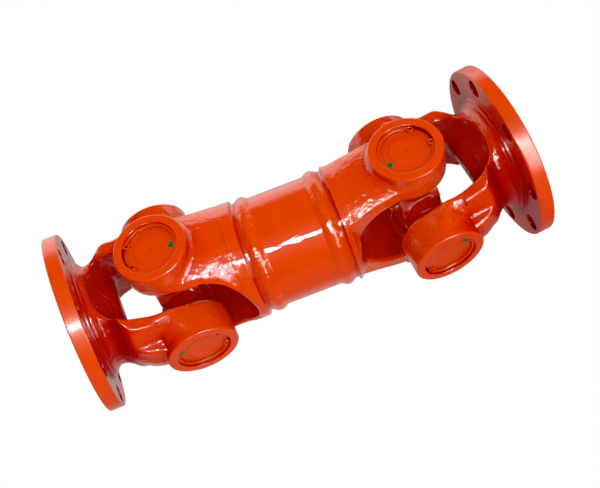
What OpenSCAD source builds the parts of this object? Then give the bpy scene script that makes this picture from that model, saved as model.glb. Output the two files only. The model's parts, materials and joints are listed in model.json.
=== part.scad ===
// Universal joint shaft: a short welded tube with a Hooke joint and a round bolting flange at each end.
// Frame, in millimetres: origin in the middle of the tube, X along the tube towards the right joint,
// Z along the bearing axis of the tube yokes. The near side of the shaft is its -Y side.
// The joints rest slightly bent, by the four angles in Rest pose; zeros there make the shaft straight.

/* [Shaft] */
// Distance between the centres of the two joints
joint_span = 252; // [240:1:400]
// Outside diameter of the tube
tube_od = 113.4; // [112.4:0.2:113.4]
// Wall thickness of the tube
tube_wall = 7; // [6.6:0.1:7]
// How far the crown of a weld bead stands above the tube
weld_crown = 3.4; // [1:0.1:3.4]

/* [Rest pose] */
// Turn of the left cross in the tube yoke
left_cross_bend = 6.6; // [-12:0.1:12]
// Turn of the left flange yoke on its cross
left_yoke_bend = 9.1; // [-12:0.1:12]
// Turn of the right cross in the tube yoke
right_cross_bend = 5.2; // [-12:0.1:12]
// Turn of the right flange yoke on its cross
right_yoke_bend = -3.3; // [-12:0.1:12]

/* [Bearings] */
// Diameter of the bearing bore in an ear
bearing_bore = 53; // [52.6:0.1:53.4]
// Diameter of the trunnion that the rollers run on
trunnion_d = 34; // [33.6:0.1:34.4]
// Diameter of one roller
roller_d = 4.94; // [4.8:0.02:4.94]
// Number of rollers in one bearing
roller_count = 24; // [18:1:24]
// Thickness of a snap ring
ring_t = 2.5; // [2:0.1:2.5]

/* [Yokes] */
// Distance between the two boss faces of a yoke
boss_span = 160; // [158:1:164]
// Diameter of an ear's boss
boss_d = 70.8; // [70:0.2:72]
// Width of the gap between the ears of a tube yoke
tube_ear_gap = 96; // [92:1:97]
// Width of the gap between the ears of a flange yoke
flange_ear_gap = 90; // [88:1:94]
// Distance from the joint's centre to the bottom of a tube yoke's throat
throat_depth = 70; // [68:0.5:71]
// The same for a flange yoke, on both flanks of its web
flange_throat_depth = 79; // [76:0.5:80]
// Distance from the joint's centre to the nose of the web between a flange yoke's ears
web_front = 57.5; // [56:0.5:60]
// Diameter of the tube yoke's hub
hub_d = 120; // [119:0.5:122]

/* [Flange] */
// Diameter of the flange
flange_d = 180; // [178:1:186]
// Thickness of the flange
flange_t = 14; // [12:0.5:16]
// Distance from the joint's centre to the flange's bolting face
flange_length = 104; // [104:1:110]
// Pitch circle of the bolt holes
bolt_circle = 155; // [154:1:156]
// Diameter of a bolt hole
bolt_hole_d = 17; // [15:0.5:17]
// Number of bolt holes
bolt_count = 8; // [4:4:8]
// Diameter of the locating recess in the bolting face
pilot_d = 105; // [100:1:110]
// Depth of the locating recess
pilot_depth = 5; // [3:0.5:5]

/* [Hidden] */
SIDES = ["left", "right"];

enamel = [0.88, 0.24, 0.03];
bearing_steel = [0.72, 0.73, 0.75];
nylon = [0.92, 0.90, 0.82];
enamelled_rubber = [0.70, 0.17, 0.03];

$fn = 96;
tiny = 0.02;                                // play of a part that is pressed or pushed into its seat
lap = 1;                                    // overlap of two shapes that make one solid
far = 300;                                  // longer than any piece that is cut through
edge_break = 1;                             // chamfer on a machined edge

// Shaft
joint_x = joint_span / 2;
hub_back = 78;                              // joint's centre to the step behind the hub
hub_chamfer = 1.2;
neck_r = 56.5;                              // welding neck behind the hub
neck_length = 9;
root_gap = 6;                               // between the welding neck and the tube's end
spigot_length = 14;                         // part of the tube yoke that centres the tube
spigot_r = tube_od / 2 - tube_wall - tiny;
tube_half = joint_x - hub_back - neck_length - root_gap;
weld_over_tube = 4.5;                       // how far the bead laps onto the tube
weld_over_neck = 5.5;                       // how far it laps onto the welding neck
weld_play = 0.05;                           // between the bead and the tube under it
crown_steps = 12;

// Bearings, measured along a trunnion from the joint's centre
boss_z = boss_span / 2;
ring_recess = 2.4;                          // snap ring below the boss face
ring_top = boss_z - ring_recess;
ring_base = ring_top - ring_t;
ring_play = 0.05;
cup_top = ring_base - ring_play;
cup_floor = 5;
cup_pad_h = 0.7;                            // raised disc in the middle of the cup's closed end
cup_pad_r = 15;
cup_mouth = 44;
cup_r = bearing_bore / 2 - tiny;
running_play = 0.03;
pitch_r = trunnion_d / 2 + roller_d / 2 + running_play;
raceway_r = pitch_r + roller_d / 2 + running_play;
floor_z = cup_top - cup_floor;
washer_t = 1.4;
washer_play = 0.05;                         // on either face of the thrust washer
washer_inset = 0.5;                         // washer's rim inside the trunnion's
trunnion_end = floor_z - washer_t - 2 * washer_play;
roller_length = 19.5;
roller_end_play = 0.2;
roller_z = floor_z - roller_end_play - roller_length;
seal_bore_r = 23.5;                         // counterbore in the cup's mouth that holds the seal
seal_seat_r = 19.5;                         // smooth seat on the cross that the seal rubs on
seal_play = 0.05;
seal_flange_r = 25.4;
seal_start = 38.6;
seal_chamfer = 1.5;
seal_depth = 5;                             // of the counterbore
seal_end_play = 1;                          // between the seal and the counterbore's floor
shoulder_z = 38;                            // end of a cross arm's thick root
arm_r = 20;
seat_runout = 1.5;                          // from the seal's seat to the first roller
groove_r = bearing_bore / 2 + 1.7;
ring_r = groove_r - 0.2;
ring_width = 4.2;
lug_r = 3.6;
lug_pitch_r = 24;
lug_hole_r = 1.4;
lug_half_angle = 31;                        // half the angle between the two lugs

// Cross block
block_x = 41;
block_yz = 46;
block_corner = 27;                          // chamfer plane's distance from the joint's centre
nipple_offset = 9;                          // off both arms' axes
NIPPLE = [[0, 0], [4.5, 0], [4.5, 3], [3, 3.5], [3, 5], [2, 5.6], [2, 6.4], [2.8, 7.2], [2, 8.6], [0, 8.6]];

// Yokes, in a yoke's own frame: ears along Z, joint's centre at the origin, base towards +X
boss_r = boss_d / 2;
boss_chamfer = 1.5;
ear_chamfer = 3;                            // at the boss's inner rim
shell_far = 70;
tongue_half = 33.5;                         // half width of an ear beside its bore
TONGUE_NOSE = [[-29.4, 0], [-20, 21.5]];    // end of an ear, which the round boss covers
throat_steps = 24;
web_half = 33;                              // half height of the web nose at its root
flare_steps = 8;
flare_end = 355;                            // angle at which an ear's flare runs into the base
hub_r = hub_d / 2;
left_ear_cone = [28, 68.5, 68];             // where a tube yoke's ears reach their full radius, that radius,
right_ear_cone = [28, 71.5, 75];            // and where they meet the hub's straight cylinder
lip_start = 66;                             // front of the hub, left bare by the narrow right-hand ears
lip_r = 47;
left_ear = [40, 39.5, 24];                  // straight length, half width there, concave flare into the hub
right_ear = [far / 3, 42, 4];
flange_ear = [50, 38.5, 22];
flange_back = flange_length - flange_t;
step_t = 3;                                 // two low steps between the flange and the neck
step_1_r = 62;
step_2_r = 58;
step_1_x = flange_back - step_t;
step_2_x = flange_back - 2 * step_t;
neck_r_at_step = 56;
waist_r = 52;                               // neck between the steps and the arms
waist_x = 78;
waist_fillet = 9;
waist_angles = [215, 300];                  // where the waist's fillet starts and ends
shoulder_fillet = 7;                        // round shoulder of the arms above the waist
shoulder_x = 54;
shoulder_r = 65.5;
shoulder_angles = [90, 35];
flange_ear_r = 70;
flange_ear_end = 32;                        // where the arms start to narrow towards the shoulder

// Angles of the snap ring gaps about each trunnion
RING_GAPS = [["left_top", 182], ["left_bottom", 20], ["left_front", 14], ["left_back", 160],
             ["right_top", 29], ["right_bottom", 175], ["right_front", 184], ["right_back", 35]];

function side_sign(side) = side == "right" ? 1 : -1;
function cross_bend(side) = side == "right" ? right_cross_bend : left_cross_bend;
function yoke_bend(side) = side == "right" ? right_yoke_bend : left_yoke_bend;
function ring_gap(name) = [for (g = RING_GAPS) if (g[0] == name) g[1]][0];
function arc(cx, cy, r, from, to, steps) =
    [for (i = [0:steps]) let (a = from + (to - from) * i / steps) [cx + r * cos(a), cy + r * sin(a)]];
function mirrored(points) = [for (i = [len(points) - 1:-1:0]) [points[i][0], -points[i][1]]];

// Places

module at_joint(side) translate([side_sign(side) * joint_x, 0, 0]) children();

module on_cross(side) at_joint(side) rotate([0, 0, cross_bend(side)]) children();

module on_flange_yoke(side) on_cross(side) rotate([0, yoke_bend(side), 0]) children();

// Turns a trunnion's own frame, whose +Z points outwards, into the joint's frame
module along_trunnion(place) {
    turn = place == "top" ? 0 : place == "bottom" ? 180 : place == "front" ? 90 : -90;
    rotate([turn, 0, 0]) children();
}

// Puts a bearing piece on the yoke that carries it
module in_ear(side, place) {
    if (place == "top" || place == "bottom") at_joint(side) along_trunnion(place) children();
    else on_flange_yoke(side) along_trunnion(place) children();
}

// Solid of revolution about X, from an outline of [x, radius] points
module lathe_x(outline) rotate([0, 90, 0]) rotate([0, 0, 90])
    rotate_extrude() polygon([for (p = outline) [p[1], p[0]]]);

// Shaft

module tube() color(enamel) rotate([0, 90, 0]) difference() {
    cylinder(h = 2 * tube_half, r = tube_od / 2, center = true);
    cylinder(h = far, r = tube_od / 2 - tube_wall, center = true);
}

// One bead, filling the gap between the tube and the welding neck with a rounded crown
module weld(side) {
    start = tube_half - weld_over_tube;
    end = tube_half + root_gap + weld_over_neck;
    crown_r = tube_od / 2 + weld_crown;
    middle = (start + end) / 2;
    half = (end - start) / 2;
    base_r = tube_od / 2 + weld_play;
    crown = [for (i = [0:crown_steps]) let (t = 2 * i / crown_steps - 1)
        [middle + t * half, base_r + (crown_r - base_r) * (1 - t * t)]];
    color(enamel) rotate([0, 0, side == "right" ? 0 : 180]) lathe_x(concat(
        crown,
        [[tube_half + root_gap, base_r], [tube_half + root_gap, spigot_r + tiny],
         [tube_half, spigot_r + tiny], [tube_half, base_r]]));
}

// Yokes

// U-shaped gap between the ears, with a round bottom
module throat(gap, depth) rotate([90, 0, 0]) linear_extrude(far, center = true) polygon(concat(
    [[-far / 2, -gap / 2]],
    arc(depth - gap / 2, 0, gap / 2, -90, 90, throat_steps),
    [[-far / 2, gap / 2]]));

// Gap between a flange yoke's ears: the web at its bottom comes forward in a rounded nose
module flange_throat() difference() {
    throat(flange_ear_gap, flange_throat_depth);
    linear_extrude(far, center = true) translate([flange_throat_depth, 0])
        scale([flange_throat_depth - web_front, web_half]) circle(r = 1, $fn = 4 * throat_steps);
}

// Ear outline seen along the bearing axis: straight sides that flare out into the base.
// ear is [straight length, half width there, flare radius].
module tongue(ear) {
    edge = concat(
        TONGUE_NOSE,
        [[0, tongue_half]],
        arc(ear[0], ear[1] + ear[2], ear[2], 270, flare_end, flare_steps),
        [[far, ear[1] + ear[2]]]);
    linear_extrude(far, center = true) polygon(concat(edge, mirrored(edge)));
}

module ear_bosses(gap) for (turn = [0, 180]) rotate([turn, 0, 0]) rotate_extrude() polygon([
    [0, gap / 2], [boss_r - ear_chamfer, gap / 2], [boss_r, gap / 2 + ear_chamfer],
    [boss_r, boss_z - boss_chamfer], [boss_r - boss_chamfer, boss_z], [0, boss_z]]);

// Bearing bore through both ears, with the snap ring grooves
module bearing_bores() {
    cylinder(h = far, r = bearing_bore / 2, center = true);
    for (turn = [0, 180]) rotate([turn, 0, 0])
        translate([0, 0, ring_base - ring_play]) cylinder(h = ring_t + 2 * ring_play, r = groove_r);
}

// Hub with its welding neck and the spigot that enters the tube
module hub(front, front_r) {
    neck_end = hub_back + neck_length;
    lathe_x([
        [front, 0], [front, front_r], [hub_back - hub_chamfer, hub_r], [hub_back, hub_r - hub_chamfer],
        [hub_back, neck_r], [neck_end, neck_r], [neck_end, spigot_r],
        [neck_end + spigot_length, spigot_r], [neck_end + spigot_length, 0]]);
}

module tube_yoke(side) {
    right = side == "right";
    cone = right ? right_ear_cone : left_ear_cone;
    shell = [[-shell_far, 0], [-shell_far, cone[1]], [cone[0], cone[1]],
             [cone[2], hub_r], [hub_back - hub_chamfer, hub_r], [hub_back - hub_chamfer, 0]];
    color(enamel) at_joint(side) rotate([0, 0, right ? 180 : 0]) difference() {
        union() {
            difference() {
                union() {
                    intersection() {
                        lathe_x(shell);
                        tongue(right ? right_ear : left_ear);
                    }
                    hub(lip_start, right ? lip_r : hub_r - hub_chamfer);
                }
                throat(tube_ear_gap, throat_depth);
            }
            ear_bosses(tube_ear_gap);
        }
        bearing_bores();
    }
}

module flange_yoke(side) {
    shell = concat(
        [[-shell_far, 0], [-shell_far, flange_ear_r], [flange_ear_end, flange_ear_r]],
        arc(shoulder_x, shoulder_r - shoulder_fillet, shoulder_fillet,
            shoulder_angles[0], shoulder_angles[1], flare_steps / 2),
        arc(waist_x, waist_r + waist_fillet, waist_fillet, waist_angles[0], waist_angles[1], flare_steps),
        [[step_2_x, neck_r_at_step], [step_2_x, step_2_r], [step_1_x, step_2_r], [step_1_x, step_1_r],
         [flange_back + lap, step_1_r], [flange_back + lap, 0]]);
    color(enamel) on_flange_yoke(side) rotate([0, 0, side == "right" ? 0 : 180]) rotate([90, 0, 0])
        difference() {
            union() {
                difference() {
                    intersection() {
                        lathe_x(shell);
                        tongue(flange_ear);
                    }
                    flange_throat();
                }
                flange_disc();
                ear_bosses(flange_ear_gap);
            }
            bearing_bores();
            bolting_face();
        }
}

module flange_disc() lathe_x([
    [flange_back, 0], [flange_back, flange_d / 2 - edge_break], [flange_back + edge_break, flange_d / 2],
    [flange_length - edge_break, flange_d / 2], [flange_length, flange_d / 2 - edge_break],
    [flange_length, 0]]);

// Bolt holes, half a pitch away from the ears, and the locating recess
module bolting_face() {
    for (i = [0:bolt_count - 1]) rotate([(i + 0.5) * 360 / bolt_count, 0, 0])
        translate([flange_back - lap, 0, bolt_circle / 2]) rotate([0, 90, 0])
            cylinder(h = flange_t + 2 * lap, r = bolt_hole_d / 2);
    translate([flange_length - pilot_depth, 0, 0]) rotate([0, 90, 0]) cylinder(h = far, r = pilot_d / 2);
}

// Cross

module trunnion() rotate_extrude() polygon([
    [0, 0], [arm_r, 0], [arm_r, shoulder_z], [seal_seat_r, shoulder_z],
    [seal_seat_r, roller_z - seat_runout], [trunnion_d / 2, roller_z - seat_runout],
    [trunnion_d / 2, trunnion_end - edge_break], [trunnion_d / 2 - edge_break, trunnion_end],
    [0, trunnion_end]]);

module cross(side) color(enamel) on_cross(side) union() {
    for (place = ["top", "bottom", "front", "back"]) along_trunnion(place) trunnion();
    intersection() {
        cube([block_x, block_yz, block_yz], center = true);
        rotate([45, 0, 0]) cube([block_x + lap, 2 * block_corner, 2 * block_corner], center = true);
    }
}

// Grease nipple on the block's face towards the tube
module grease_nipple(side) color(enamel) on_cross(side) rotate([0, 0, side == "right" ? 180 : 0])
    translate([block_x / 2 + tiny, side_sign(side) * nipple_offset, nipple_offset])
        rotate([0, 90, 0]) rotate_extrude() polygon(NIPPLE);

// Bearings, each in a trunnion's own frame

module cup() color(enamel) rotate_extrude() polygon([
    [0, floor_z], [raceway_r, floor_z], [raceway_r, cup_mouth + seal_depth],
    [seal_bore_r, cup_mouth + seal_depth], [seal_bore_r, cup_mouth], [cup_r, cup_mouth],
    [cup_r, cup_top - edge_break], [cup_r - edge_break, cup_top], [cup_pad_r + cup_pad_h, cup_top],
    [cup_pad_r, cup_top + cup_pad_h], [0, cup_top + cup_pad_h]]);

module snap_ring(gap_angle) color(enamel) translate([0, 0, ring_base]) rotate([0, 0, gap_angle])
    linear_extrude(ring_t) difference() {
        union() {
            difference() {
                circle(r = ring_r);
                circle(r = ring_r - ring_width);
                polygon([[0, 0], far * [cos(lug_half_angle), sin(lug_half_angle)], [far, 0],
                         far * [cos(lug_half_angle), -sin(lug_half_angle)]]);
            }
            for (s = [-1, 1]) rotate(s * lug_half_angle) translate([lug_pitch_r, 0]) circle(r = lug_r);
        }
        for (s = [-1, 1]) rotate(s * lug_half_angle) translate([lug_pitch_r, 0]) circle(r = lug_hole_r);
    }

module seal() color(enamelled_rubber) rotate_extrude() polygon([
    [seal_seat_r + seal_play, seal_start], [seal_flange_r - seal_chamfer, seal_start],
    [seal_flange_r, seal_start + seal_chamfer], [seal_flange_r, cup_mouth - tiny],
    [seal_bore_r - tiny, cup_mouth - tiny],
    [seal_bore_r - tiny, cup_mouth + seal_depth - seal_end_play],
    [seal_seat_r + seal_play, cup_mouth + seal_depth - seal_end_play]]);

module thrust_washer() color(nylon) translate([0, 0, floor_z - washer_t - washer_play])
    cylinder(h = washer_t, r = trunnion_d / 2 - washer_inset);

module rollers() color(bearing_steel) for (i = [0:roller_count - 1]) rotate([0, 0, i * 360 / roller_count])
    translate([pitch_r, 0, roller_z]) cylinder(h = roller_length, r = roller_d / 2);

tube();
for (side = SIDES) {
    weld(side);
    tube_yoke(side);
    cross(side);
    grease_nipple(side);
    flange_yoke(side);
    for (place = ["top", "bottom", "front", "back"]) {
        name = str(side, "_", place);
        in_ear(side, place) cup();
        in_ear(side, place) snap_ring(ring_gap(name));
        in_ear(side, place) seal();
        in_ear(side, place) thrust_washer();
        in_ear(side, place) rollers();
    }
}
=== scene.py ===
"""Looks of a universal joint shaft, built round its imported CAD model.

The cast pieces are implicit surfaces and the turned ones are lathed, all under one glossy orange enamel.
Lengths are in millimetres in a piece's own frame, and the meshes are made in metres.
"""

import json
import math

import bpy
import numpy as np
import openvdb
from mathutils import Matrix, Vector


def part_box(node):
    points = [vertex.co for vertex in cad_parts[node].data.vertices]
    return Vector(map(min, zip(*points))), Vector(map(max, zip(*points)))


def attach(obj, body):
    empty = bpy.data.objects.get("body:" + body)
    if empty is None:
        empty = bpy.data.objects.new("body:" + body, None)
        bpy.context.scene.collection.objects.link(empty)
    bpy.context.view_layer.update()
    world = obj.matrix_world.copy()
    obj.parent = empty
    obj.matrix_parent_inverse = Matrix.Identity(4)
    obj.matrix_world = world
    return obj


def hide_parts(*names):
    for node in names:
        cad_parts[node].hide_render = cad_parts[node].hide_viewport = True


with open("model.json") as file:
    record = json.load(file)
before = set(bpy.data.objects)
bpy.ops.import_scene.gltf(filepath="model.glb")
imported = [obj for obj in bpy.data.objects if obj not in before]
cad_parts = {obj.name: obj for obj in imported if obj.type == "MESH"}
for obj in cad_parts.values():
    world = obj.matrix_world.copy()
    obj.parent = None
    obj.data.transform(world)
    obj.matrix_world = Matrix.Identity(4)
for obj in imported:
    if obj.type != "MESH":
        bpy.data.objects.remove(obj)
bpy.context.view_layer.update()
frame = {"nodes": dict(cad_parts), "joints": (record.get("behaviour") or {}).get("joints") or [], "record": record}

MM = 0.001
SIDES = ("left", "right")
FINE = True
STEP = 1.25 if FINE else 2.2          # grid step of the cast pieces
RING_STEP = 0.5 if FINE else 0.9      # grid step of the snap rings
TURNED = 192 if FINE else 96          # segments round a turned piece

# Bearings, along a trunnion from the joint's centre
BOSS_Z = 80.0
BOSS_R = 35.4
BORE_R = 26.5
BOSS_EDGE = 1.6
RING_BASE, RING_TOP, RING_R = 75.1, 77.6, 28.0
RING_MIDDLE = (RING_BASE + RING_TOP) / 2
RING_WIDTH = 4.2
GROOVE_R, GROOVE_HALF_WIDTH = 28.2, 1.3
FACE_SMOOTHNESS, FACE_LIMIT_X = 0.92, 50.0      # of a boss's face and bore, and the x where bosses end
LUG_R, LUG_PITCH_R, LUG_HOLE_R, LUG_ANGLE = 3.6, 24.0, 1.6, math.radians(31)
CUP_TOP, CUP_MOUTH, CUP_R, CUP_FLOOR = 75.05, 44.0, 26.48, 5.0
RACEWAY_R, SEAL_BORE_R, SEAL_DEPTH = 22.0, 23.5, 5.0
SEAL_START, SEAL_FLANGE_R, SEAL_SEAT_R = 38.6, 25.4, 19.5
TRUNNION_R, TRUNNION_END, SHOULDER_Z, ARM_R = 17.0, 68.5, 38.0, 20.0
SEAL_SEAT_END = 48.85
# Turn of each ring's gap about its trunnion, in degrees
RING_GAPS = {"left_top": 182, "left_bottom": 20, "left_front": 14, "left_back": 160,
             "right_top": 29, "right_bottom": 175, "right_front": 184, "right_back": 35}

# Tube yokes: x from the joint's centre towards the hub, bearings along z
TUBE_GAP, TUBE_THROAT = 48.0, 70.0
HUB_R, HUB_BACK, HUB_FRONT = 60.0, 78.0, 66.0
NECK_R, NECK_START, NECK_END, SPIGOT_END = 56.5, 72.0, 87.0, 101.0
SPIGOT_R = 49.68
HUB_LIP = (0.69, 0.725, 0.8)                    # slope of the right hub's lip in r and x, and its setback
TUBE_SHELL = {"left": [(0, 68.8), (28, 68.2), (45, 64.8), (58, 61.4), (68, 60), (90, 60)],
              "right": [(0, 72), (28, 71.8), (52, 66.4), (72, 61.2), (78, 60), (90, 60)]}
TUBE_EAR = {"left": [(0, 35), (14, 39.4), (34, 40), (49, 44), (60, 52), (64, 57), (67, 64), (90, 90)],
            "right": [(0, 31), (13, 32.4), (30, 34.1), (47, 35.3), (66, 37.9), (73, 39.4), (77, 43),
                      (90, 70)]}
TUBE_EAR_EDGE = {"left": 4.0, "right": 1.2}
TUBE_YOKE_WAVES = 0.16

# Flange yokes: x from the joint's centre towards the flange, bearings along z, y up
FLANGE_GAP, ARM_LEAN = 45.0, 6.5                # half gap at the bosses, how much less it is at the root
LEAN_FROM, LEAN_OVER = 20.0, 40.0
WEB_NOSE, WEB_NOSE_H = 57.5, 24.0               # the web between the arms comes forward in a rounded nose
WEB_RECESS = {"left": 23.0, "right": 21.0}      # how far the throat falls back on both flanks of that nose
THROAT_CORNER, THROAT_FLANK_CORNER = 8.0, 21.0  # corner radius at the nose, and what the flanks add
FLANGE_R, FLANGE_BACK, FLANGE_FACE = 90.0, 90.0, 104.0
STEPS_FRONT = 84.0
STEPS = [(62.0, 87.0), (58.0, STEPS_FRONT)]     # radius and front of the low steps behind the flange
ARM_SHELL = [(-40, 70), (40, 70), (50, 68), (57, 65), (62, 61), (67, 56.4),
             (71, 53.6), (76, 52), (80, 52.4), (84, 56), (90, 58)]
ARM_WIDTH = [(0, 35), (14, 38.5), (46, 38.8), (59, 42.5), (66, 47.5), (72, 56), (90, 90)]
BOLT_CIRCLE_R, BOLT_R, BOLTS = 77.5, 8.5, 8
PILOT_R, PILOT_FLOOR = 52.5, 99.0
TOP_FACET = (22.5, 64.5)                        # elevation of a clearance flat's normal, and its distance
LOW_FACET = (28.0, 62.8)
SPINE_CENTRE, SPINE_R = (33.1, 40.1), 33.0      # round back of an arm, between its two flats
SPINE_HALF_WIDTH, SPINE_PROUD = 26.0, 5.0
FLANGE_YOKE_WAVES = 0.2
RIM_FROM, RIM_TO = (20, 2.5), (66, 5.0)         # x and rounding of the throat's rim at its two ends
LEDGE_TILT, LEDGE_TOP, LEDGE_FOOT = 17.0, 20.0, 61.0
FACET_START, ROOT_FLARE_V, ROOT_FLARE = 32.0, 70.0, 0.41
ROOT_BEVEL = (0.0, 0.656, 0.755, 63.4)          # x, up, v and distance of the bevel beside the boss
GUSSET = (0.50, 0.75, 0.43, 60.6)               # the same for the small gusset facet

# Crosses: half sizes of the middle block along x, along y and z, and across its bevels
BLOCK_X, BLOCK_YZ, BLOCK_BEVEL = 20.5, 23.0, 27.0
CROSS_WAVES, CROSS_CAST_END = 0.12, 34.0

# Grease nipple: radius, height and rounding of its outline's corners
NIPPLE = [(0, 0, 0), (4.5, 0, 0.2), (4.5, 3, 0.4), (3, 3.5, 0.2), (3, 5, 0.3), (2, 5.6, 0.2),
          (2, 6.4, 0.2), (2.8, 7.2, 0.5), (2.0, 8.6, 0.5), (0.9, 8.6, 0.2), (0.8, 7.8, 0.1), (0, 7.8, 0)]
NIPPLE_LENGTH = 8.6

# Shaft
TUBE_R, TUBE_BORE_R, TUBE_HALF_LENGTH = 56.7, 49.7, 33.0
WELD_FROM, WELD_TO, WELD_CROWN = 28.5, 44.5, 3.4


def joint_named(name):
    return next(j for j in frame["joints"] if j["name"] == name)


def mount_named(name):
    return next(m for m in frame["record"]["mounts"] if m["name"] == name)


def joint_centre(side):
    return Vector(joint_named("cross_turn_" + side)["pos_m"])


def axes_matrix(x_axis, z_axis, centre):
    """Place of a piece whose own x and z point along these directions."""
    x_axis = Vector(x_axis).normalized()
    z_axis = Vector(z_axis).normalized()
    rows = Matrix((x_axis, z_axis.cross(x_axis), z_axis)).transposed()
    return Matrix.Translation(centre) @ rows.to_4x4()


def tube_yoke_place(side):
    towards_tube = (1, 0, 0) if side == "left" else (-1, 0, 0)
    return axes_matrix(towards_tube, (0, 0, 1), joint_centre(side))


def flange_yoke_place(side):
    outwards = mount_named(side + "_flange_bolts")["axis"]
    near = -Vector(joint_named("yoke_turn_" + side)["axis"])
    return axes_matrix(outwards, near, joint_centre(side))


def cross_place(side):
    """Cross frame: z up, x towards the tube."""
    across = Vector(joint_named("yoke_turn_" + side)["axis"])
    towards_tube = across.cross(Vector((0, 0, 1)))
    if side == "right":
        towards_tube = -towards_tube
    return axes_matrix(towards_tube, (0, 0, 1), joint_centre(side))


def bearing_place(side, place):
    """Frame of one trunnion: z outwards, x towards the right-hand end at rest."""
    yoke_axis = Vector(joint_named("yoke_turn_" + side)["axis"])
    if place in ("top", "bottom"):
        z_axis = Vector((0, 0, 1 if place == "top" else -1))
        x_axis = Vector((1, 0, 0))
    else:
        z_axis = -yoke_axis if place == "front" else yoke_axis
        x_axis = Vector(mount_named(side + "_flange_bolts")["axis"])
        if side == "left":
            x_axis = -x_axis
    return axes_matrix(x_axis, z_axis, joint_centre(side))


def body_of_bearing(side, place):
    return "shaft" if place in ("top", "bottom") else "flange_yoke_" + side


# Implicit shapes: negative inside, in millimetres

def join(a, b, fillet):
    """Union with a round fillet in the corner."""
    corner = np.hypot(np.maximum(fillet - a, 0), np.maximum(fillet - b, 0))
    return np.maximum(fillet, np.minimum(a, b)) - corner


def common(a, b, rounding):
    """Intersection with a rounded edge."""
    edge = np.hypot(np.maximum(rounding + a, 0), np.maximum(rounding + b, 0))
    return np.minimum(-rounding, np.maximum(a, b)) + edge


def smooth_curve(x, points):
    """Height at x of a smooth curve through the points, level beyond both ends."""
    xs, ys = np.array(points, float).T
    slopes = np.gradient(ys, xs)
    i = np.clip(np.searchsorted(xs, x) - 1, 0, len(xs) - 2)
    width = xs[i + 1] - xs[i]
    t = np.clip((x - xs[i]) / width, 0, 1)
    rise = ys[i + 1] - ys[i]
    bend = t * (1 - t) * ((1 - t) * (slopes[i] * width - rise) + t * (rise - slopes[i + 1] * width))
    return ys[i] + t * rise + bend


def casting_waves(p, size):
    """Gentle unevenness of a sand casting."""
    x, y, z = p.T
    waves = np.sin(x / 7.1 + 1.3 * np.sin(y / 9.7)) * np.sin(y / 6.3 + z / 11.0)
    waves += np.sin(z / 5.9 + 1.1 * np.sin(x / 8.3)) * np.sin(x / 12.1 - y / 7.7)
    return size * waves


def u_slot(x, z, half_gap, depth):
    """Gap between two ears, with a round bottom."""
    centre = depth - half_gap
    return np.where(x < centre, np.abs(z), np.hypot(x - centre, z)) - half_gap


def boss(x, y, z, half_gap):
    """Round boss at the end of both ears."""
    along = np.abs(z)
    disc = common(np.hypot(x, y) - BOSS_R, along - BOSS_Z, BOSS_EDGE)
    return common(disc, half_gap - along, rounding=3.0)


def bored(body, x, y, z):
    """Cuts the bearing bore and the snap ring grooves."""
    off_axis = np.hypot(x, y)
    body = common(body, BORE_R - off_axis, rounding=0.9)
    groove = np.maximum(off_axis - GROOVE_R, np.abs(np.abs(z) - RING_MIDDLE) - GROOVE_HALF_WIDTH)
    return np.maximum(body, -groove)


def tube_yoke_field(side):
    def field(p):
        x, y, z = p.T
        r = np.hypot(y, z)
        shell = r - smooth_curve(x, TUBE_SHELL[side])
        flank = np.abs(y) - smooth_curve(x, TUBE_EAR[side])
        ear = common(shell, flank, TUBE_EAR_EDGE[side])
        ear = common(ear, -x, rounding=0.5)
        hub = common(r - HUB_R, HUB_FRONT - x, rounding=1.5)
        if side == "right":
            slope_r, slope_x, setback = HUB_LIP
            lip = slope_r * (r - HUB_R) - slope_x * (x - HUB_BACK + setback)
            hub = common(hub, lip, rounding=1.0)
        body = join(ear, hub, fillet=2.5) + casting_waves(p, TUBE_YOKE_WAVES) * (x < HUB_BACK - 4)
        body = common(body, -u_slot(x, z, TUBE_GAP, TUBE_THROAT), rounding=4.0)
        body = common(body, x - HUB_BACK, rounding=1.2)
        body = join(body, boss(x, y, z, TUBE_GAP), fillet=5.0)
        neck = np.maximum(common(r - NECK_R, x - NECK_END, rounding=0.8), NECK_START - x)
        spigot = np.maximum(r - SPIGOT_R, NECK_START - x)
        spigot = common(spigot, x - SPIGOT_END, rounding=1.0)
        body = join(join(body, neck, fillet=0.8), spigot, fillet=0.5)
        return bored(body, x, y, z)
    return field


def facet(v, up, elevation, distance):
    """Plane whose normal rises at this elevation, in degrees, from v towards up."""
    angle = math.radians(elevation)
    return v * math.cos(angle) + up * math.sin(angle) - distance


def throat(x, y, z, recess):
    """Gap between the arms: square at the middle of the web, wide and round at both flanks."""
    flank = 1 - np.exp(-(y / WEB_NOSE_H) ** 2)
    depth = WEB_NOSE + recess * flank
    lean = np.clip((x - LEAN_FROM) / LEAN_OVER, 0, 1)
    half = FLANGE_GAP - ARM_LEAN * lean * lean * (3 - 2 * lean)
    corner = THROAT_CORNER + THROAT_FLANK_CORNER * flank
    past_x = x - depth + corner
    past_z = np.abs(z) - half + corner
    outside = np.hypot(np.maximum(past_x, 0), np.maximum(past_z, 0))
    return outside + np.minimum(np.maximum(past_x, past_z), 0) - corner


def plane(x, up, v, numbers):
    return numbers[0] * x + numbers[1] * up + numbers[2] * v - numbers[3]


def boss_root(x, up, v):
    """Cone under a boss, with the gusset facet cut on it."""
    cone = (np.hypot(x, up) - BOSS_R - ROOT_FLARE * (ROOT_FLARE_V - v)) * math.cos(math.atan(ROOT_FLARE))
    root = common(cone, v - ROOT_FLARE_V, rounding=0.5)
    root = common(root, plane(x, up, v, GUSSET), rounding=1.0)
    root = common(root, x - FACET_START + 1, rounding=1.5)
    root = common(root, np.abs(up) - smooth_curve(x, ARM_WIDTH), rounding=3.0)
    return common(root, -x, rounding=0.5)


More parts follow.
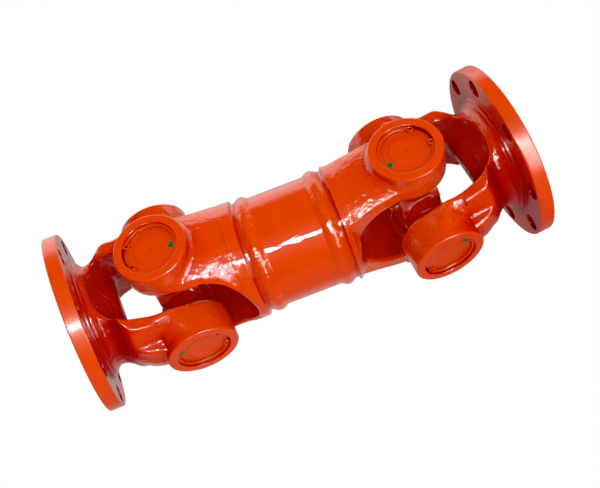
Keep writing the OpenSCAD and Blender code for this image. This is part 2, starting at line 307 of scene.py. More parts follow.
def arms(p, up):
    """Both arms of a flange yoke: a shell with clearance flats, and a spine that rises to the boss."""
    x, _, z = p.T
    v = np.abs(z)
    r = np.hypot(up, z)
    core = common(r - smooth_curve(x, ARM_SHELL), facet(v, up, *TOP_FACET), rounding=1.8)
    core = common(core, facet(v, -up, *LOW_FACET), rounding=3.0)
    beyond = np.maximum(x - SPINE_CENTRE[0], 0)
    spine = np.hypot(beyond, np.maximum(v - SPINE_CENTRE[1], 0)) - SPINE_R
    tilt = math.radians(LEDGE_TILT)
    ledge = (up - LEDGE_TOP) * math.cos(tilt) + (v - LEDGE_FOOT) * math.sin(tilt)
    spine = common(spine, ledge, rounding=3.0)
    spine_v = SPINE_CENTRE[1] + np.sqrt(np.maximum(SPINE_R ** 2 - beyond ** 2, 0))
    low_distance = math.cos(math.radians(LOW_FACET[0])) * spine_v + SPINE_PROUD
    spine = common(spine, facet(v, -up, LOW_FACET[0], low_distance), rounding=3.5)
    spine = common(spine, np.abs(up) - SPINE_HALF_WIDTH, rounding=2.0)
    body = join(core, spine, fillet=1.8)
    bevel = np.maximum(-plane(x, up, v, ROOT_BEVEL), x - FACET_START)
    return common(body, -bevel, rounding=1.5)


def flange_yoke_field(side, up_sign):
    def field(p):
        x, y, z = p.T
        up = y * up_sign
        r = np.hypot(y, z)
        body = arms(p, up)
        body = common(body, np.abs(up) - smooth_curve(x, ARM_WIDTH), rounding=2.2)
        body = common(body, -x, rounding=0.5)
        body = body + casting_waves(p, FLANGE_YOKE_WAVES) * (x < STEPS_FRONT - 3)
        for step_r, step_x in STEPS:
            body = join(body, common(r - step_r, step_x - x, rounding=0.9), fillet=1.2)
        body = join(body, boss_root(x, up, np.abs(z)), fillet=2.5)
        rim_rounding = np.interp(x, *zip(RIM_FROM, RIM_TO))
        body = common(body, -throat(x, y, z, WEB_RECESS[side]), rim_rounding)
        disc = common(r - FLANGE_R, FLANGE_BACK - x, rounding=1.1)
        body = join(body, disc, fillet=0.8)
        body = common(body, x - FLANGE_FACE, rounding=1.1)
        body = join(body, boss(x, y, z, FLANGE_GAP), fillet=2.0)
        sector = 2 * math.pi / BOLTS
        turn = np.mod(np.arctan2(y, z), sector) - sector / 2
        hole = np.hypot(r * np.cos(turn) - BOLT_CIRCLE_R, r * np.sin(turn)) - BOLT_R
        hole = np.maximum(hole, STEPS_FRONT - x)
        body = common(body, -hole, rounding=0.9)
        pilot = np.maximum(r - PILOT_R, PILOT_FLOOR - x)
        body = common(body, -pilot, rounding=0.8)
        return bored(body, x, y, z)
    return field


def trunnion(along, across_1, across_2):
    r = np.hypot(across_1, across_2)
    along = np.abs(along)
    pin = common(r - TRUNNION_R, along - TRUNNION_END, rounding=1.2)
    seat = common(r - SEAL_SEAT_R, along - SEAL_SEAT_END, rounding=0.8)
    arm = common(r - ARM_R, along - SHOULDER_Z, rounding=1.0)
    return join(join(pin, seat, fillet=0.6), arm, fillet=0.6)


def cross_field(p):
    x, y, z = p.T
    block = common(np.abs(x) - BLOCK_X, np.abs(y) - BLOCK_YZ, rounding=0.9)
    block = common(block, np.abs(z) - BLOCK_YZ, rounding=0.9)
    block = common(block, (np.abs(y) + np.abs(z)) / math.sqrt(2) - BLOCK_BEVEL, rounding=0.9)
    body = join(trunnion(z, x, y), trunnion(y, x, z), fillet=2.0)
    cast = np.maximum(np.abs(y), np.abs(z)) < CROSS_CAST_END
    return join(body, block, fillet=2.0) + casting_waves(p, CROSS_WAVES) * cast


def snap_ring_field(p):
    x, y, z = p.T
    r = np.hypot(x, y)
    ring = np.abs(r - RING_R + RING_WIDTH / 2) - RING_WIDTH / 2
    gap = np.abs(np.arctan2(y, x)) - LUG_ANGLE
    plate = common(ring, -r * gap, rounding=1.0)
    for sign in (-1, 1):
        lug_x = LUG_PITCH_R * math.cos(LUG_ANGLE)
        lug_y = sign * LUG_PITCH_R * math.sin(LUG_ANGLE)
        lug = np.hypot(x - lug_x, y - lug_y)
        plate = np.maximum(join(plate, lug - LUG_R, fillet=1.2), LUG_HOLE_R - lug)
    plate = np.maximum(plate, r - RING_R)
    return common(plate, np.abs(z - RING_MIDDLE) - (RING_TOP - RING_BASE) / 2, rounding=0.5)


# Meshes

def slope(field, points, reach=0.04):
    """Gradient of the field at the points."""
    columns = []
    for axis in range(3):
        offset = np.zeros(3)
        offset[axis] = reach
        columns.append((field(points + offset) - field(points - offset)) / (2 * reach))
    return np.stack(columns, 1)


def settle(field, points, step, rounds=3):
    """Moves points along the gradient onto the surface."""
    for _ in range(rounds):
        value = field(points)
        steepness = slope(field, points)
        square = np.maximum((steepness ** 2).sum(1), 0.2)
        shift = np.clip(value / square, -step, step)
        points = points - steepness * shift[:, None]
    return points


def relax(points, quads, share=0.5):
    """Moves each point part of the way to the middle of its neighbours."""
    total = np.zeros_like(points)
    count = np.zeros(len(points))
    for a, b in ((0, 1), (1, 2), (2, 3), (3, 0)):
        np.add.at(total, quads[:, a], points[quads[:, b]])
        np.add.at(total, quads[:, b], points[quads[:, a]])
        np.add.at(count, quads[:, a], 1)
        np.add.at(count, quads[:, b], 1)
    return points + share * (total / np.maximum(count, 1)[:, None] - points)


def sampled(field, low, high, step):
    """Field values on a grid, worked out exactly only near the surface."""
    stride = 3
    counts = (np.ceil((high - low) / (step * stride)).astype(int) + 1) * stride
    axes = [low[i] + step * np.arange(counts[i]) for i in range(3)]
    middle = [a[stride // 2::stride] for a in axes]
    rough_points = np.stack(np.meshgrid(*middle, indexing="ij"), -1).reshape(-1, 3)
    rough = field(rough_points).reshape([len(m) for m in middle])
    for axis in range(3):
        rough = np.repeat(rough, stride, axis)
    near = np.abs(rough) < 3.2 * step * stride / 2 + 1.5
    values = rough.astype(np.float32)
    index = np.argwhere(near)
    values[near] = field(low + step * index)
    return values


def surface(field, low, high, step):
    """Points, quads and normals of the zero surface of a field, in millimetres."""
    low = np.array(low, float) - 2.5 * step
    high = np.array(high, float) + 2.5 * step
    grid = openvdb.FloatGrid()
    grid.copyFromArray(sampled(field, low, high, step))
    points, _, quads = grid.convertToPolygons(isovalue=0.0, adaptivity=0.0)
    points = settle(field, low + step * points.astype(float), 0.6 * step)
    for _ in range(2):
        points = settle(field, relax(points, quads), 0.6 * step, 2)
    normals = slope(field, points)
    normals /= np.maximum(np.linalg.norm(normals, axis=1), 1e-6)[:, None]
    first = points[quads[:, :3]]
    facing = np.cross(first[:, 1] - first[:, 0], first[:, 2] - first[:, 0])
    if (facing * normals[quads[:, 0]]).sum() < 0:
        quads = quads[:, ::-1]
    return points, quads, normals


def mesh_from(name, points, faces, normals=None):
    mesh = bpy.data.meshes.new(name)
    mesh.from_pydata((np.asarray(points) * MM).tolist(), [], np.asarray(faces).tolist())
    mesh.validate()
    mesh.shade_smooth()
    if normals is not None:
        mesh.normals_split_custom_set_from_vertices(normals.tolist())
    return mesh


def add_piece(name, mesh, place, body, material, node):
    piece = bpy.data.objects.new(name, mesh)
    bpy.context.scene.collection.objects.link(piece)
    piece.matrix_world = place
    mesh.materials.append(material)
    keep_own_place(mesh)
    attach(piece, body)
    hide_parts(node)


def mark_machined(mesh, share):
    """Stores how smooth each point is, from 0 on a raw casting to 1 on a machined face."""
    attribute = mesh.attributes.new("machined", "FLOAT", "POINT")
    attribute.data.foreach_set("value", share.astype(np.float32))


def keep_own_place(mesh):
    """Stores each point's place in the piece's own frame, for the materials' patterns."""
    own_place = np.empty(3 * len(mesh.vertices), np.float32)
    mesh.vertices.foreach_get("co", own_place)
    mesh.attributes.new("own_place", "FLOAT_VECTOR", "POINT").data.foreach_set("vector", own_place)


def rounded_profile(corners, steps=4):
    """Closed outline of (radius, height, rounding) corners with each corner replaced by a short arc."""
    outline = []
    count = len(corners)
    for i in range(count):
        before = np.array(corners[i - 1][:2], float)
        here = np.array(corners[i][:2], float)
        after = np.array(corners[(i + 1) % count][:2], float)
        rounding = corners[i][2]
        if rounding == 0:
            outline.append(here)
            continue
        start = here + (before - here) / np.linalg.norm(before - here) * rounding
        end = here + (after - here) / np.linalg.norm(after - here) * rounding
        for t in np.linspace(0, 1, steps + 1):
            outline.append((1 - t) ** 2 * start + 2 * t * (1 - t) * here + t ** 2 * end)
    return np.array(outline)


def lathe(name, corners, segments=None):
    """Solid of revolution about z, from corners given as (radius, height, rounding)."""
    segments = segments or TURNED
    outline = rounded_profile(corners)
    on_axis = outline[:, 0] < 1e-6
    points, rings = [], []
    for (radius, height), centre in zip(outline, on_axis):
        if centre:
            rings.append([len(points)] * segments)
            points.append((0, 0, height))
            continue
        rings.append(list(range(len(points), len(points) + segments)))
        for k in range(segments):
            angle = 2 * math.pi * k / segments
            points.append((radius * math.cos(angle), radius * math.sin(angle), height))
    faces = []
    for ring, following in zip(rings, rings[1:] + rings[:1]):
        if ring[0] == ring[1] and following[0] == following[1]:
            continue
        for k in range(segments):
            j = (k + 1) % segments
            corner = [ring[k], ring[j], following[j], following[k]]
            faces.append([c for i, c in enumerate(corner) if c != corner[i - 1]])
    mesh = bpy.data.meshes.new(name)
    mesh.from_pydata((np.array(points) * MM).tolist(), [], faces)
    mesh.validate()
    mesh.shade_smooth()
    mesh.set_sharp_from_angle(angle=math.radians(40))
    return mesh


# Materials

class Nodes:
    """Short hand for building the node tree of a material or a world."""

    def __init__(self, owner, own_place=True):
        self.owner = owner
        self.own_place = own_place
        owner.use_nodes = True
        self.tree = owner.node_tree

    def add(self, kind, inputs=None, **settings):
        node = self.tree.nodes.new(kind)
        for key, value in settings.items():
            setattr(node, key, value)
        for key, value in (inputs or {}).items():
            self.put(node.inputs[key], value)
        return node

    def put(self, socket, value):
        if isinstance(value, bpy.types.NodeSocket):
            self.tree.links.new(value, socket)
        else:
            socket.default_value = value

    def set(self, name, value):
        self.put(self.tree.nodes["Principled BSDF"].inputs[name], value)

    def maths(self, operation, a, b=0.0, clamp=False):
        node = self.add("ShaderNodeMath", operation=operation, use_clamp=clamp)
        self.put(node.inputs[0], a)
        self.put(node.inputs[1], b)
        return node.outputs[0]

    def recess(self, distance):
        """1 on open faces and less in the piece's own recesses."""
        node = self.add("ShaderNodeAmbientOcclusion", {"Distance": distance}, samples=6, only_local=True)
        return node.outputs["AO"]

    def attribute(self, name, output):
        return self.add("ShaderNodeAttribute", attribute_name=name).outputs[output]

    def remap(self, value, low, high, to_low, to_high):
        node = self.add("ShaderNodeMapRange", {"Value": value, "From Min": low, "From Max": high,
                                               "To Min": to_low, "To Max": to_high})
        return node.outputs["Result"]

    def place(self):
        """Coordinates in the piece's own frame, which this script's pieces keep in their meshes."""
        if self.own_place:
            return self.attribute("own_place", "Vector")
        return self.add("ShaderNodeTexCoord").outputs["Object"]

    def noise(self, scale, detail=2.0, roughness=0.5):
        node = self.add("ShaderNodeTexNoise", {"Vector": self.place(), "Scale": scale, "Detail": detail,
                                               "Roughness": roughness})
        return node.outputs["Fac"]

    def blend(self, share, a, b):
        """Number that is a where share is 0 and b where it is 1."""
        rest = self.maths("SUBTRACT", 1.0, share)
        return self.maths("ADD", self.maths("MULTIPLY", share, b), self.maths("MULTIPLY", rest, a))

    def mix(self, share, a, b):
        node = self.add("ShaderNodeMix", data_type="RGBA")
        self.put(node.inputs["Factor"], share)
        self.put(node.inputs["A"], a)
        self.put(node.inputs["B"], b)
        return node.outputs["Result"]

    def bump(self, height, distance, strength, normal=None):
        node = self.add("ShaderNodeBump", {"Height": height, "Distance": distance, "Strength": strength})
        if normal is not None:
            self.put(node.inputs["Normal"], normal)
        return node.outputs["Normal"]


# Enamel colours, from open faces to the bottom of a recess; the shaded and deep ones are painted shade
ENAMEL = (0.75, 0.067, 0.0008, 1)
ENAMEL_THIN = (0.65, 0.048, 0.0006, 1)
ENAMEL_SHADED = (0.56, 0.011, 0.0003, 1)
ENAMEL_DEEP_SHADE = (0.10, 0.0012, 0.0001, 1)
ENAMEL_BOUNCED = (0.22, 0.006, 0.0001, 1)       # its weaker light on neighbouring faces keeps hollows dark
INSPECTION_GREEN = (0.004, 0.16, 0.05, 1)
STEEL = (0.62, 0.62, 0.64, 1)
NYLON, NYLON_DARK = (0.80, 0.76, 0.64, 1), (0.70, 0.65, 0.52, 1)

RECESS_REACH = 0.08                             # metres
DEEP_RECESS = (0.35, 0.62, 0.0, 1.0)            # openness from, to, and the share of the lighter colour
SHADED_RECESS = (0.62, 0.96, 0.0, 1.0)
FILM_GLOSS = (0.3, 0.7, 0.012, 0.04)            # noise from, to, and the coat's roughness
MACHINED_GLOSS = (0.92, 1.0, 0.0, 0.18)         # and what a machined face adds to it
MARK_EDGE = (0.0032, 0.0037, 1.0, 0.0)          # metres from the mark's centre, and how green
MARK_RAGGED = (0.0, 1.0, -0.004, 0.004)         # noise from, to, and how far the edge moves
# Unevenness, from coarse to fine: noise scale per metre, detail, noise roughness, height in metres
CASTING_BUMPS = [(64, 2, 0.5, 0.0019), (200, 2, 0.6, 0.00065), (520, 2, 0.5, 0.00016)]
ORANGE_PEEL = (450, 2, 0.5, 0.00005)


def mark_share(nodes, mark):
    """1 inside a ragged dab of paint round the line at x and y, given in millimetres, and 0 outside."""
    flat = nodes.add("ShaderNodeVectorMath", {0: nodes.place(), 1: (1, 1, 0)}, operation="MULTIPLY")
    centre = (mark[0] * MM, mark[1] * MM, 0)
    away = nodes.add("ShaderNodeVectorMath", {0: flat.outputs["Vector"], 1: centre}, operation="DISTANCE")
    sway = nodes.remap(nodes.noise(scale=260, detail=3), *MARK_RAGGED)
    return nodes.remap(nodes.maths("ADD", away.outputs["Value"], sway), *MARK_EDGE)


def enamel(name, cast=1.0, peel=1.0, thin=0.0, mark=None):
    """Glossy orange enamel. cast is the casting's unevenness under it, peel the film's own orange peel.

    thin is how much more of the thin film's colour shows, and mark the place of a dab of green paint.
    """
    nodes = Nodes(bpy.data.materials.new(name))
    machined = nodes.attribute("machined", "Fac")
    rough = nodes.maths("MULTIPLY", nodes.maths("SUBTRACT", 1.0, machined, clamp=True), cast)
    blotches = nodes.remap(nodes.noise(scale=38, detail=3), 0.35, 0.7, 0.0, 0.3 + thin)
    colour = nodes.mix(blotches, ENAMEL, ENAMEL_THIN)
    # Painted shade: the colour darkens towards deep red in the piece's own recesses, where less light reaches
    openness = nodes.recess(RECESS_REACH)
    hollow_shade = nodes.mix(nodes.remap(openness, *DEEP_RECESS), ENAMEL_DEEP_SHADE, ENAMEL_SHADED)
    colour = nodes.mix(nodes.remap(openness, *SHADED_RECESS), hollow_shade, colour)
    bounced = nodes.add("ShaderNodeLightPath").outputs["Is Diffuse Ray"]
    colour = nodes.mix(bounced, colour, ENAMEL_BOUNCED)
    if mark:
        colour = nodes.mix(mark_share(nodes, mark), colour, INSPECTION_GREEN)
    nodes.set("Base Color", colour)
    nodes.set("Roughness", 0.42)
    nodes.set("IOR", 1.5)
    nodes.set("Specular IOR Level", 0.06)
    nodes.set("Coat Weight", 1.0)
    nodes.set("Coat IOR", 1.5)
    patchy = nodes.remap(nodes.noise(scale=90), *FILM_GLOSS)
    nodes.set("Coat Roughness", nodes.maths("ADD", patchy, nodes.remap(machined, *MACHINED_GLOSS)))
    normal = None
    layers = [(rough, bump) for bump in CASTING_BUMPS] + [(peel, ORANGE_PEEL)]
    for strength, (scale, detail, roughness, height) in layers:
        normal = nodes.bump(nodes.noise(scale, detail, roughness), height, strength, normal)
    nodes.set("Normal", normal)
    nodes.set("Coat Normal", normal)
    return nodes.owner


def bare_metal(name, colour, roughness):
    nodes = Nodes(bpy.data.materials.new(name), own_place=False)
    darker = [0.8 * c for c in colour[:3]] + [1]
    nodes.set("Base Color", nodes.mix(nodes.noise(scale=160, detail=3), colour, darker))
    nodes.set("Metallic", 1.0)
    uneven = nodes.noise(scale=400, detail=3)
    nodes.set("Roughness", nodes.remap(uneven, 0.3, 0.7, roughness, roughness + 0.12))
    nodes.set("Normal", nodes.bump(nodes.noise(scale=900), distance=0.0001, strength=0.2))
    return nodes.owner


def plain_nylon(name):
    nodes = Nodes(bpy.data.materials.new(name), own_place=False)
    nodes.set("Base Color", nodes.mix(nodes.noise(scale=120, detail=3), NYLON, NYLON_DARK))
    nodes.set("Roughness", 0.45)
    nodes.set("Subsurface Weight", 0.15)
    nodes.set("Normal", nodes.bump(nodes.noise(scale=700), distance=0.0001, strength=0.3))
    return nodes.owner


cast_enamel = enamel("cast_enamel")
tube_enamel = enamel("tube_enamel", cast=0.2, peel=2.0)
weld_enamel = enamel("weld_enamel", cast=0.9)
cross_enamel = enamel("cross_enamel", cast=0.5, thin=0.2)
bearing_enamel = enamel("bearing_enamel", cast=0.05, peel=1.0)
# x and y of the green dabs, from the bearing's axis
marks = {"left_top": (19.6, -2.8), "right_top": (-19.0, -8.3),
         "left_front": (-21.8, 3.4), "right_front": (19.4, 7.5)}
marked_enamel = {where: enamel("bearing_enamel_" + where, cast=0.05, mark=mark)
                 for where, mark in marks.items()}
rubber_enamel = enamel("rubber_enamel", cast=0.3, thin=0.5)
ground_steel = bare_metal("ground_steel", STEEL, roughness=0.18)
nylon = plain_nylon("nylon")


# Pieces

def bearing_faces(points):
    """How smooth the bosses' end faces and bores are at each point of a yoke."""
    x, y, z = points.T
    face = np.clip((np.abs(z) - BOSS_Z + 1.2) / 0.8, 0, 1)
    bore = np.hypot(x, y) < BORE_R + 1.0
    return FACE_SMOOTHNESS * np.maximum(face, bore) * (x < FACE_LIMIT_X)


def build_tube_yoke(side):
    field = tube_yoke_field(side)
    low = (-BOSS_R, -HUB_R - 2, -BOSS_Z)
    high = (SPIGOT_END, HUB_R + 2, BOSS_Z)
    points, quads, normals = surface(field, low, high, STEP)
    name = "yoke_of_tube_" + side
    mesh = mesh_from(name, points, quads, normals)
    back = np.clip((points[:, 0] - HUB_BACK + 9) / 5, 0, 1)
    mark_machined(mesh, np.maximum(bearing_faces(points), 0.7 * back))
    add_piece(name, mesh, tube_yoke_place(side), "shaft", cast_enamel, "tube_yoke_" + side)


def build_flange_yoke(side):
    """A flange yoke whose points are turned into place in the mesh, so that its box fits it closely."""
    place = flange_yoke_place(side)
    up_sign = 1 if place.col[1][2] > 0 else -1
    field = flange_yoke_field(side, up_sign)
    low = (-BOSS_R, -FLANGE_R, -FLANGE_R)
    high = (FLANGE_FACE, FLANGE_R, FLANGE_R)
    points, quads, normals = surface(field, low, high, STEP)
    name = "yoke_of_flange_" + side
    turn = np.array(place.to_3x3())
    shift = np.array(place.translation) / MM
    mesh = mesh_from(name, points @ turn.T + shift, quads, normals @ turn.T)
    flange = np.clip((points[:, 0] - STEPS_FRONT) / 2, 0, 1)
    mark_machined(mesh, np.maximum(bearing_faces(points), flange))
    here = Matrix.Identity(4)
    body = "flange_yoke_" + side
    add_piece(name, mesh, here, body, cast_enamel, body)


def build_cross(side):
    high = (BLOCK_X + 0.5, TRUNNION_END, TRUNNION_END)
    low = [-h for h in high]
    points, quads, normals = surface(cross_field, low, high, STEP)
    name = "spider_" + side
    mesh = mesh_from(name, points, quads, normals)
    outer = np.maximum(np.abs(points[:, 1]), np.abs(points[:, 2]))
    mark_machined(mesh, np.clip((outer - CROSS_CAST_END + 1) / 3, 0, 1))
    body = "cross_" + side
    add_piece(name, mesh, cross_place(side), body, cross_enamel, body)


def build_nipple(side):
    low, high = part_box("grease_nipple_" + side)
    mesh = lathe("nipple_" + side, NIPPLE, segments=48)
    cross = cross_place(side)
    towards_tube = cross.col[0].to_3d()
    centre = (low + high) / 2
    foot = centre - towards_tube * (NIPPLE_LENGTH / 2 * MM)
    place = axes_matrix((0, 0, 1), towards_tube, foot)
    node = "grease_nipple_" + side
    add_piece("nipple_" + side, mesh, place, "cross_" + side, cross_enamel, node)


def build_tube():
    half, edge = TUBE_HALF_LENGTH, 0.4
    outline = [(TUBE_R, -half, edge), (TUBE_R, half, edge),
               (TUBE_BORE_R, half, edge), (TUBE_BORE_R, -half, edge)]
    mesh = lathe("shaft_tube", outline, segments=256)
    place = axes_matrix((0, 0, 1), (1, 0, 0), (0, 0, 0))
    add_piece("shaft_tube", mesh, place, "shaft", tube_enamel, "tube")


def build_weld(side):
    """Closed ring with a crowned, rippled bead outside and a bore sunk in the tube and the neck."""
    sign = 1 if side == "right" else -1
    around = 720 if FINE else 360
    across = 20
    points = []
    for k in range(around):
        angle = 2 * math.pi * k / around
        ripple = math.sin(62 * angle) + 0.5 * math.sin(38 * angle + 2 * sign)
        sway = 0.5 * math.sin(5 * angle + sign) + 0.35 * math.sin(13 * angle) + 0.15 * math.sin(29 * angle)
        start = WELD_FROM + 0.6 * sway
        end = WELD_TO - 0.5 * sway + 0.3 * math.sin(17 * angle)
        for i in range(across + 1):
            t = i / across
            crown = (0.5 - 0.5 * math.cos(2 * math.pi * t)) ** 0.6
            chevron = 0.10 * ripple * math.sin(math.pi * t) * math.cos(3 * t)
            base = TUBE_R + 0.03 + (NECK_R - TUBE_R) * t
            height = base + (WELD_CROWN + 0.25 * sway) * crown + chevron
            points.append((start + (end - start) * t, angle, height))
        points.append((WELD_TO - 2.0, angle, TUBE_R - 0.5))
        points.append((WELD_FROM + 2.0, angle, TUBE_R - 0.2))
    ring = across + 3
    places = [(sign * x, h * math.cos(a), h * math.sin(a)) for x, a, h in points]
    faces = []
    for k in range(around):
        following = (k + 1) % around
        for i in range(ring):
            j = (i + 1) % ring
            face = [k * ring + i, k * ring + j, following * ring + j, following * ring + i]
            faces.append(face if sign < 0 else face[::-1])
    mesh = bpy.data.meshes.new("bead_" + side)
    mesh.from_pydata((np.array(places) * MM).tolist(), [], faces)
    mesh.shade_smooth()
    mesh.set_sharp_from_angle(angle=math.radians(60))
    here = Matrix.Identity(4)
    add_piece("bead_" + side, mesh, here, "shaft", weld_enamel, "weld_" + side)


def cup_mesh():
    floor_z = CUP_TOP - CUP_FLOOR
    seal_end = CUP_MOUTH + SEAL_DEPTH
    return lathe("bearing_cup", [
        (0, floor_z, 0), (RACEWAY_R, floor_z, 0.6), (RACEWAY_R, seal_end, 0.3),
        (SEAL_BORE_R, seal_end, 0.3), (SEAL_BORE_R, CUP_MOUTH, 0.4), (CUP_R, CUP_MOUTH, 0.8),
        (CUP_R, CUP_TOP, 0.9), (17.0, CUP_TOP, 0.9), (15.4, CUP_TOP + 0.7, 0.9),
        (12.2, CUP_TOP + 0.7, 0.4), (11.8, CUP_TOP + 0.5, 0.4), (1.3, CUP_TOP + 0.45, 0.3),
        (0, CUP_TOP - 0.5, 0)])


def seal_mesh():
    mouth = CUP_MOUTH - 0.02
    return lathe("bearing_seal", [
        (SEAL_SEAT_R + 0.05, SEAL_START, 0.4), (SEAL_FLANGE_R, SEAL_START, 1.6),
        (SEAL_FLANGE_R, mouth, 0.5), (SEAL_BORE_R - 0.02, mouth, 0.2),
        (SEAL_BORE_R - 0.02, mouth + 4, 0.5), (SEAL_SEAT_R + 0.05, mouth + 4, 0.5)])


def ring_mesh():
    low = (-RING_R, -RING_R, RING_BASE)
    high = (RING_R, RING_R, RING_TOP)
    points, quads, normals = surface(snap_ring_field, low, high, RING_STEP)
    return mesh_from("retaining_ring", points, quads, normals)


def build_bearings():
    cup, seal, ring = cup_mesh(), seal_mesh(), ring_mesh()
    for side in SIDES:
        for place in ("top", "bottom", "front", "back"):
            where = f"{side}_{place}"
            body = body_of_bearing(side, place)
            at = bearing_place(side, place)
            coat = marked_enamel.get(where, bearing_enamel)
            add_piece("closed_cup_" + where, cup.copy(), at, body, coat,
                      "cup_" + where)
            add_piece("lip_seal_" + where, seal.copy(), at, body, rubber_enamel,
                      "seal_" + where)
            turned = at @ Matrix.Rotation(math.radians(RING_GAPS[where]), 4, "Z")
            add_piece("retaining_ring_" + where, ring.copy(), turned, body, bearing_enamel,
                      "snap_ring_" + where)


def finish_hidden_nodes():
    for name, node in frame["nodes"].items():
        if name.startswith(("rollers", "thrust_washer")):
            node.data.materials.clear()
            node.data.materials.append(ground_steel if name.startswith("rollers") else nylon)


build_tube()
for side in SIDES:
    build_weld(side)
    build_tube_yoke(side)
    build_flange_yoke(side)
    build_cross(side)
    build_nipple(side)
build_bearings()
finish_hidden_nodes()


# Stage

# Camera
CAMERA_PLACE = (0.0175, -0.4171, 0.6641)
CAMERA_RIGHT = (0.9336, -0.2957, -0.2025)
CAMERA_DOWN = (-0.3580, -0.7972, -0.4861)
CAMERA_FORWARD = (-0.0177, 0.5263, -0.8501)
SENSOR_WIDTH, LENS = 36, 46.95

# Contrast
BLACK_POINT = 0.008
GREEN_CURVE = [(0.02, 0.008), (0.045, 0.042), (0.1, 0.105), (0.4, 0.4)]

# Soft boxes: direction from the shaft, distance, width, height, radiance, and whether it is mirrored
SOFT_BOXES = {
    "strip": ((-0.08, -0.53, 0.85), 2.0, 1.7, 0.04, 260.0, True),
    "window": ((0.52, -0.66, 0.64), 2.0, 0.7, 1.4, 12.0, True),
    "key": ((0.1, -0.62, 0.78), 2.2, 1.6, 1.2, 3.05, False),
    "fill": ((-0.2, 0.94, 0.27), 2.2, 1.8, 0.9, 2.4, False),
}
SOFT_COLOUR = (1.0, 1.25, 1.0)

# World
SKY_LIGHT = 0.76
SKY_COLOUR = (1.0, 0.66, 0.45, 1)
SKY_ACROSS = (-1.0, 1.0, 0.6, 1.4)              # x of a direction from, to, and how bright there
BAND_HEIGHT = (0.2, 0.4, 1.6, 0.0)              # the same for z, in the pale band that the gloss mirrors
BAND_BEHIND = (0.2, 0.6, 0.0, 1.0)              # and for y

# Floor
FLOOR_SIZE = 6.0
FLOOR_HEIGHT = -0.119                           # just under the flanges' lowest point at any pose
FLOOR_LIGHT = 0.76
FLOOR_COLOUR = (1.0, 0.62, 0.5, 1)
WHITE = (1, 1, 1, 1)
# How bright the floor is in the gloss, with a painted shadow of the shaft in front and round both flanges: metres
# from, to, and brightness there
MIRRORED_FRONT = (-0.138, -0.075, 0.2, 0.55)    # along y
MIRRORED_BEHIND = (0.2, 0.7, 0.0, 1.0)
MIRRORED_LEFT = (-0.17, -0.11, 0.85, 1.0)       # along x
MIRRORED_RIGHT = (0.11, 0.17, 1.0, 0.4)


def add_camera():
    data = bpy.data.cameras.new("camera")
    data.sensor_width = SENSOR_WIDTH
    data.lens = LENS
    data.clip_start = 0.01
    camera = bpy.data.objects.new("camera", data)
    axes = (Vector(CAMERA_RIGHT), -Vector(CAMERA_DOWN), -Vector(CAMERA_FORWARD))
    camera.matrix_world = Matrix.Translation(CAMERA_PLACE) @ Matrix(axes).transposed().to_4x4()
    bpy.context.scene.collection.objects.link(camera)
    bpy.context.scene.camera = camera


def floor_material():
    """Plain white to the camera, warm light on the shaft, and in the gloss a painted shadow of the shaft, darker
    in front and round the flanges.
    """
    nodes = Nodes(bpy.data.materials.new("pale_floor"))
    path = nodes.add("ShaderNodeLightPath")
    geometry = nodes.add("ShaderNodeNewGeometry")
    spot = nodes.add("ShaderNodeSeparateXYZ", {"Vector": geometry.outputs["Position"]})
    x, y = spot.outputs["X"], spot.outputs["Y"]
    # Painted shadow of the shaft in the gloss: the floor darkens in front of it and round both flanges
    along = nodes.maths("ADD", nodes.remap(y, *MIRRORED_FRONT), nodes.remap(y, *MIRRORED_BEHIND))
    across = nodes.maths("MULTIPLY", nodes.remap(x, *MIRRORED_LEFT), nodes.remap(x, *MIRRORED_RIGHT))
    mirrored = nodes.maths("MULTIPLY", along, across)
    lit = nodes.remap(path.outputs["Is Diffuse Ray"], 0, 1, 1.0, FLOOR_LIGHT)
    strength = nodes.blend(path.outputs["Is Glossy Ray"], lit, mirrored)
    tint = nodes.mix(path.outputs["Is Diffuse Ray"], WHITE, FLOOR_COLOUR)
    glow = nodes.add("ShaderNodeEmission", {"Strength": strength, "Color": tint})
    clear = nodes.add("ShaderNodeBsdfTransparent")
    shown = nodes.add("ShaderNodeMixShader", {0: geometry.outputs["Backfacing"],
                                              1: glow.outputs["Emission"], 2: clear.outputs["BSDF"]})
    nodes.put(nodes.tree.nodes["Material Output"].inputs["Surface"], shown.outputs["Shader"])
    return nodes.owner


def add_floor():
    """White sweep, seen through from below."""
    mesh = bpy.data.meshes.new("floor")
    signs = [(-1, -1), (1, -1), (1, 1), (-1, 1)]
    corners = [(i * FLOOR_SIZE, j * FLOOR_SIZE, FLOOR_HEIGHT) for i, j in signs]
    mesh.from_pydata(corners, [], [(0, 1, 2, 3)])
    mesh.materials.append(floor_material())
    floor = bpy.data.objects.new("floor", mesh)
    bpy.context.scene.collection.objects.link(floor)


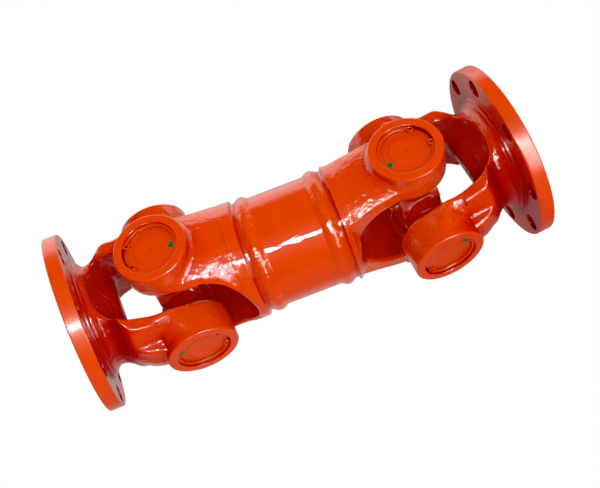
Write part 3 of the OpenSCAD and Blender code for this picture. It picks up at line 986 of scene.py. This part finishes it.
def add_soft_box(name, towards, distance, width, height, radiance, mirrored):
    """Soft box seen in this direction. A mirrored one shows only in the gloss, another never does."""
    data = bpy.data.lights.new(name, "AREA")
    data.shape = "RECTANGLE"
    data.size = width
    data.size_y = height
    data.energy = radiance * width * height * math.pi
    if not mirrored:
        data.color = SOFT_COLOUR
    lamp = bpy.data.objects.new(name, data)
    direction = Vector(towards).normalized()
    side_axis = Vector((0, 0, 1)).cross(direction).normalized()
    rows = Matrix((side_axis, direction.cross(side_axis), direction)).transposed()
    lamp.matrix_world = Matrix.Translation(direction * distance) @ rows.to_4x4()
    lamp.visible_glossy = mirrored
    lamp.visible_diffuse = not mirrored
    bpy.context.scene.collection.objects.link(lamp)


def add_world():
    """White to the camera, warm light on the shaft, and in the gloss only a pale band low behind it."""
    world = bpy.data.worlds.new("studio")
    bpy.context.scene.world = world
    nodes = Nodes(world)
    path = nodes.add("ShaderNodeLightPath")
    generated = nodes.add("ShaderNodeTexCoord").outputs["Generated"]
    towards = nodes.add("ShaderNodeSeparateXYZ", {"Vector": generated}).outputs
    band = nodes.maths("MULTIPLY", nodes.remap(towards["Z"], *BAND_HEIGHT),
                       nodes.remap(towards["Y"], *BAND_BEHIND))
    sky = nodes.maths("MULTIPLY", nodes.remap(towards["X"], *SKY_ACROSS), SKY_LIGHT)
    strength = nodes.blend(path.outputs["Is Glossy Ray"], sky, band)
    strength = nodes.maths("MAXIMUM", strength, path.outputs["Is Camera Ray"])
    background = nodes.tree.nodes["Background"]
    colour = nodes.mix(path.outputs["Is Diffuse Ray"], WHITE, SKY_COLOUR)
    nodes.put(background.inputs["Color"], colour)
    nodes.put(background.inputs["Strength"], strength)


def add_contrast():
    """Camera contrast: darks go black, and shaded orange turns red, as its weaker green falls first."""
    view = bpy.context.scene.view_settings
    view.view_transform = "Standard"
    view.use_curve_mapping = True
    view.curve_mapping.black_level = [BLACK_POINT] * 3
    green = view.curve_mapping.curves[1]
    for light, shown in GREEN_CURVE:
        green.points.new(light, shown)
    view.curve_mapping.update()


add_camera()
add_floor()
for name, numbers in SOFT_BOXES.items():
    add_soft_box(name, *numbers)
add_world()
add_contrast()
